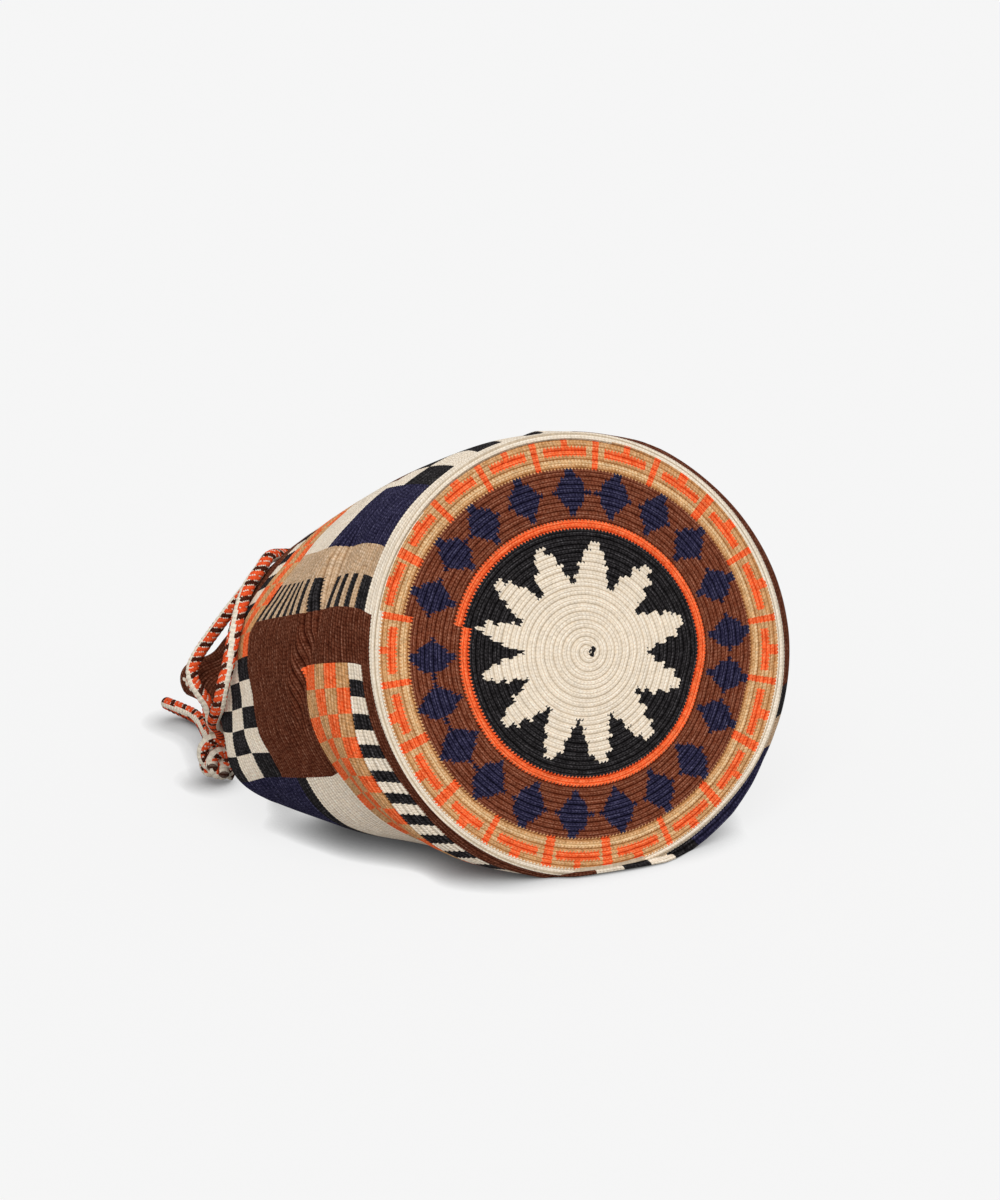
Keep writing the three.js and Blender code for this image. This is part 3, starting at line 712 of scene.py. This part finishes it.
def stitch_group():
    """Node group: two chains of slanted strands along each round, as a height, as light in the hollows and as
    the saw-toothed edge where the next round shows.

    Strands are a sine of u + 0.45 |2v - 1|, shifted at random from round to round; the light is painted shade
    for the material: it falls in a deep groove at each border of the round, deeper at every second border, in
    a shallow one along its middle and between the strands, and varies in streaks along the round and from
    fibre to fibre. The next round shows where v > 1 - 0.6 |2u - 1|.
    """
    group, out = relief_group("stitch_relief")
    calc = partial(math, group)
    uv = add_node(group, "UVMap", uv_map="stitches").outputs[0]
    split = add_node(group, "SeparateXYZ", {0: uv})
    stitches, rounds = split.outputs[0], split.outputs[1]
    v = calc("FRACT", rounds)
    half = calc("ABSOLUTE", calc("MULTIPLY_ADD", v, 2.0, -1.0))
    chance = add_node(group, "TexWhiteNoise", noise_dimensions="1D")
    wire(group, chance, {"W": calc("FLOOR", rounds)})
    shifted = calc("ADD", chance.outputs["Value"], stitches)
    u = calc("FRACT", calc("ADD", shifted, calc("MULTIPLY", half, 0.45)))
    strand = calc("POWER", calc("SINE", calc("MULTIPLY", u, np.pi)), 0.6)
    stretch = add_node(group, "VectorMath", {0: uv, 1: (0.45, 2.0, 1.0)}, operation="MULTIPLY")
    streak = fibre_noise(group, 1.0, 2, stretch.outputs[0])
    fibre = fibre_noise(group, 1300)
    # painted shade: darker at each border of a round, deeper at every second border, lighter on the crests
    groove = calc("POWER", calc("SINE", calc("MULTIPLY", v, np.pi)), 0.7)
    pair = calc("ABSOLUTE", calc("SINE", calc("MULTIPLY", rounds, np.pi / 2)))
    groove = calc("MULTIPLY", calc("MULTIPLY_ADD", groove, 0.75, 0.25),
                  calc("MULTIPLY_ADD", calc("POWER", pair, 0.5), 0.45, 0.6))
    seam = calc("SMOOTH_MIN", calc("MULTIPLY", half, 2.6), 1.0, 0.3)
    seam = calc("MULTIPLY_ADD", seam, 0.4, 0.6)
    strands = calc("MULTIPLY", calc("MULTIPLY_ADD", strand, 0.35, 0.65), seam)
    fuzz = calc("ADD", calc("MULTIPLY_ADD", fibre, 1.0, -0.5), calc("MULTIPLY_ADD", streak, 1.0, -0.5))
    teeth = calc("ABSOLUTE", calc("MULTIPLY_ADD", calc("FRACT", stitches), 2.0, -1.0))
    above = calc("GREATER_THAN", calc("MULTIPLY_ADD", teeth, 0.6, v), 1.0)
    wire(group, out, {"Height": calc("MULTIPLY_ADD", fibre, 0.6, strands),
                      "Light": calc("MULTIPLY", groove, strands), "Fuzz": fuzz, "Above": above})
    return group


def cord_group():
    """Node group: fine strands of the plait, as height and light in the hollows, without fuzz or mask."""
    group, out = relief_group("plait_relief")
    fibre = fibre_noise(group, 1100)
    wire(group, out, {"Height": fibre, "Light": fibre})
    return group


def yarn_material(name, group, bump):
    """Matt yarn with painted shade and highlight: the colour of the stitch is raised to a power that grows
    where the group's light is low, in the grooves, and scaled by that light, so the grooves are painted
    darker, dark yarn most, and the crests painted lighter; both are uneven over the cloth. The strands are
    bump."""
    material, tree, shader = new_material(name)
    calc = partial(math, tree)
    stitch = add_node(tree, "Group", node_tree=group).outputs
    light, fuzz = stitch["Light"], stitch["Fuzz"]
    own = add_node(tree, "VertexColor", layer_name="yarn").outputs["Color"]
    above = add_node(tree, "VertexColor", layer_name="yarn_above").outputs["Color"]
    pick = add_node(tree, "Mix", {"Factor": stitch["Above"], "A": own, "B": above}, data_type="RGBA")
    # painted shade and highlight: in the grooves the power rises and the level falls, on the crests the power
    # drops below 1 and the level rises above 1
    power = calc("ADD", calc("MULTIPLY_ADD", light, -0.9, 1.6), calc("MULTIPLY", fuzz, -0.75))
    bounce = add_node(tree, "Gamma", {"Color": pick.outputs["Result"], "Gamma": power})
    level = calc("MULTIPLY", calc("MULTIPLY_ADD", fibre_noise(tree, 60, 4), 0.16, 0.92),
                 calc("ADD", calc("MULTIPLY_ADD", light, 0.6, 0.68), calc("MULTIPLY", fuzz, 0.12)))
    shade = add_node(tree, "VectorMath", {0: bounce.outputs["Color"]}, operation="SCALE")
    wire(tree, shade, {"Scale": level})
    relief = add_node(tree, "Bump", {"Strength": 0.8, "Distance": bump, "Height": stitch["Height"]})
    wire(tree, shader, {"Base Color": shade.outputs[0], "Normal": relief.outputs[0], "Roughness": 0.92,
                        "Specular IOR Level": 0.04})
    return material


def seen_directly(tree):
    """1 where a ray from the camera, a reflection or a clear piece looks, 0 for light that bounces."""
    path = add_node(tree, "LightPath").outputs
    clear = math(tree, "MAXIMUM", path["Is Glossy Ray"], path["Is Transmission Ray"])
    return math(tree, "MAXIMUM", path["Is Camera Ray"], clear)


def colour_property(name, description, rgb):
    """Colour setting whose default is a display colour."""
    return bpy.props.FloatVectorProperty(name=name, description=description, default=tuple(linear(rgb)),
                                         subtype="COLOR", size=3, min=0, max=1)


def number_property(name, description, default, subtype="NONE"):
    """Number setting."""
    return bpy.props.FloatProperty(name=name, description=description, default=default, subtype=subtype)


class BagSettings(bpy.types.PropertyGroup):
    """Yarns and relief of the crocheted shell."""

    cream: colour_property("Cream", "Undyed yarn of the star and the pale cells", (238, 223, 202))
    black: colour_property("Black", "Black yarn of the star's ground", (37, 35, 36))
    orange: colour_property("Orange", "Orange yarn of the ring, bars and cells", (243, 106, 57))
    brown: colour_property("Brown", "Brown yarn of the base's plain ground", (118, 64, 44))
    navy: colour_property("Navy", "Navy yarn of the diamonds and fields", (42, 40, 63))
    tan: colour_property("Tan", "Tan yarn of the band and cells", (205, 154, 104))
    pale_tan: colour_property("Pale tan", "Paler rounds in the tan band", (220, 179, 131))
    straw: colour_property("Straw", "Greyer tan yarn of the wall's plain fields", (196, 164, 131))
    # The wall's darker brown: the base's brown darkened, painted shade over the wall.
    shaded_brown: colour_property("Umber", "Darker brown yarn of the wall", (93, 49, 33))
    fabric: number_property("Fabric", "Thickness of the crochet in millimetres", 3.5)
    base_relief: number_property("Base relief", "Height of the base's rounds in millimetres", 0.45)
    wall_relief: number_property("Wall relief", "Height of the wall's rounds in millimetres", 0.34)


class CordSettings(bpy.types.PropertyGroup):
    """Yarns and size of the plaited drawstring."""

    diameter: number_property("Diameter", "Diameter of the cord in millimetres", 7.0)
    turn: number_property("Turn", "Where the chains start round the cord", -1.3, "ANGLE")
    cord_cream: colour_property("Cream", "Chains along the cord", (247, 237, 219))
    cord_orange: colour_property("Orange", "Strands between the chains", (236, 100, 56))
    cord_brown: colour_property("Brown", "Ticks across the strands", (84, 46, 34))


class StageSettings(bpy.types.PropertyGroup):
    """Floor, light and camera."""

    paper: number_property("Paper", "Grey of the floor and backdrop, linear", 0.9216)
    bounce: number_property("Bounce", "Grey of the floor as the bag sees it, linear", 0.5)
    evenness: number_property("Evenness", "Share of the floor's light that is even", 0.86)
    glow: number_property("Glow", "Level of the floor's even light", 0.932)
    dome: number_property("Dome", "Strength of the all-round light", 0.38)
    lamp: number_property("Lamp", "Strength of the soft lamp above", 2.06)
    lens: number_property("Lens", "Focal length on a 36 mm long side", 82.2)


class BAG_OT_shell(bpy.types.Operator):
    """Build the crocheted base and wall in place of the bag body"""

    bl_idname = "bag.shell"
    bl_label = "Crocheted shell"

    def execute(self, context):
        settings = context.scene.bag_settings
        material = yarn_material("crochet", stitch_group(), 0.0006)
        half = WALL_ROUNDS // 2
        pieces = [make_base(settings, material), make_wall("wall_lower", 0, half, settings, material),
                  make_wall("wall_upper", half, WALL_ROUNDS, settings, material)]
        for piece in pieces:
            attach(piece, "root")
            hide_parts("bag_body")
        return {"FINISHED"}


class BAG_OT_drawstring(bpy.types.Operator):
    """Build the plaited drawstring, its knot and the cut tails"""

    bl_idname = "bag.drawstring"
    bl_label = "Drawstring and knot"

    def execute(self, context):
        settings = context.scene.cord_settings
        material = yarn_material("plait", cord_group(), 0.0005)
        path = drawstring_path()
        tube = plait(path, settings.diameter, settings, turn=settings.turn, more=(TURN_AT, TURN_MORE))
        cord = add_mesh("drawstring_cord", *tube, material)
        knot = add_mesh("knot", *joined(knot_parts(settings)), material)
        for piece in (cord, knot):
            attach(piece, "root")
        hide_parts("drawstring")
        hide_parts("drawstring_knot")
        return {"FINISHED"}


class BAG_OT_stage(bpy.types.Operator):
    """Lay a pale floor and set the light and the camera"""

    bl_idname = "bag.stage"
    bl_label = "Stage"

    def execute(self, context):
        scene, settings = context.scene, context.scene.stage_settings
        mesh = bpy.data.meshes.new("floor")
        side = np.linspace(-4, 4, 9)
        x, y = np.meshgrid(side, side)
        ids = np.arange(81).reshape(9, 9)
        quads = np.stack([ids[:-1, :-1], ids[:-1, 1:], ids[1:, 1:], ids[1:, :-1]], -1).reshape(-1, 4)
        mesh.from_pydata(np.stack([x, y, np.zeros_like(x)], -1).reshape(-1, 3), [], quads)
        mesh.materials.append(self.paper(settings))
        floor = bpy.data.objects.new("floor", mesh)
        scene.collection.objects.link(floor)
        self.light(scene, settings)
        self.camera(scene, settings)
        scene.view_settings.view_transform = "Standard"
        return {"FINISHED"}

    def paper(self, settings):
        """White paper: mostly its own even glow, with a painted shadow from ambient occlusion where something
        close hides it from the right, and for the rest what the lamps give. It throws less light back at the
        bag than it shows."""
        material, tree, shader = new_material("paper")
        side = add_node(tree, "CombineXYZ", dict(enumerate(SHADE_SIDE)))
        near = add_node(tree, "AmbientOcclusion", {"Distance": 0.017, "Normal": side.outputs[0]}, samples=8)
        deep = add_node(tree, "Gamma", {"Color": near.outputs["Color"], "Gamma": 1.5})
        glow = add_node(tree, "Emission", {"Color": deep.outputs["Color"], "Strength": settings.glow})
        seen = seen_directly(tree)
        level = math(tree, "MULTIPLY_ADD", seen, settings.paper - settings.bounce, settings.bounce)
        wire(tree, shader, {"Base Color": level, "Roughness": 1, "Specular IOR Level": 0})
        share = math(tree, "MULTIPLY", seen, settings.evenness)
        mix = add_node(tree, "MixShader", {"Fac": share, 1: shader.outputs[0], 2: glow.outputs[0]})
        wire(tree, tree.nodes["Material Output"], {"Surface": mix.outputs[0]})
        return material

    def light(self, scene, settings):
        """All-round light, and one wide soft lamp in front and above."""
        world = bpy.data.worlds.new("studio")
        scene.world = world
        world.use_nodes = True
        tree = world.node_tree
        seen, dome = seen_directly(tree), settings.dome
        strength = math(tree, "MULTIPLY_ADD", seen, settings.paper - dome, dome)
        wire(tree, tree.nodes["Background"], {"Color": (1, 1, 1, 1), "Strength": strength})
        lamp = bpy.data.lights.new("overhead", "SUN")
        lamp.energy = settings.lamp
        lamp.angle = 1.1
        holder = bpy.data.objects.new("overhead", lamp)
        holder.rotation_euler = (0.62, 0, -0.25)
        scene.collection.objects.link(holder)

    def camera(self, scene, settings):
        """Camera above and to the left of the base."""
        data = bpy.data.cameras.new("camera")
        data.lens, data.sensor_width, data.sensor_fit = settings.lens, 36, "AUTO"
        data.clip_start, data.clip_end = 0.05, 50
        camera = bpy.data.objects.new("camera", data)
        matrix = np.eye(4)
        matrix[:3, :3] = np.stack([EYE_RIGHT, EYE_UP, -EYE_AHEAD], 1)
        matrix[:3, 3] = (EYE + SHIFT) * MM
        camera.matrix_world = Matrix(matrix.tolist())
        scene.collection.objects.link(camera)
        scene.camera = camera


class BAG_PT_panel(bpy.types.Panel):
    """Settings and build steps of the bag"""

    bl_idname = "BAG_PT_panel"
    bl_label = "Crocheted bag"
    bl_space_type = "VIEW_3D"
    bl_region_type = "UI"
    bl_category = "Bag"

    def draw(self, context):
        for group in GROUPS:
            settings = getattr(context.scene, group)
            box = self.layout.box()
            for name in settings.__annotations__:
                box.prop(settings, name)
        for step in (BAG_OT_stage, BAG_OT_drawstring, BAG_OT_shell):
            self.layout.operator(step.bl_idname)


GROUPS = {"bag_settings": BagSettings, "cord_settings": CordSettings, "stage_settings": StageSettings}
CLASSES = (*GROUPS.values(), BAG_OT_shell, BAG_OT_drawstring, BAG_OT_stage, BAG_PT_panel)


def register():
    for kind in CLASSES:
        bpy.utils.register_class(kind)
    for name, group in GROUPS.items():
        setattr(bpy.types.Scene, name, bpy.props.PointerProperty(type=group))


def unregister():
    for name in GROUPS:
        delattr(bpy.types.Scene, name)
    for kind in reversed(CLASSES):
        bpy.utils.unregister_class(kind)


def main():
    """Build everything in order."""
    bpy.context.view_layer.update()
    register()
    bpy.ops.bag.stage()
    bpy.ops.bag.drawstring()
    bpy.ops.bag.shell()


if __name__ == "__main__":
    main()
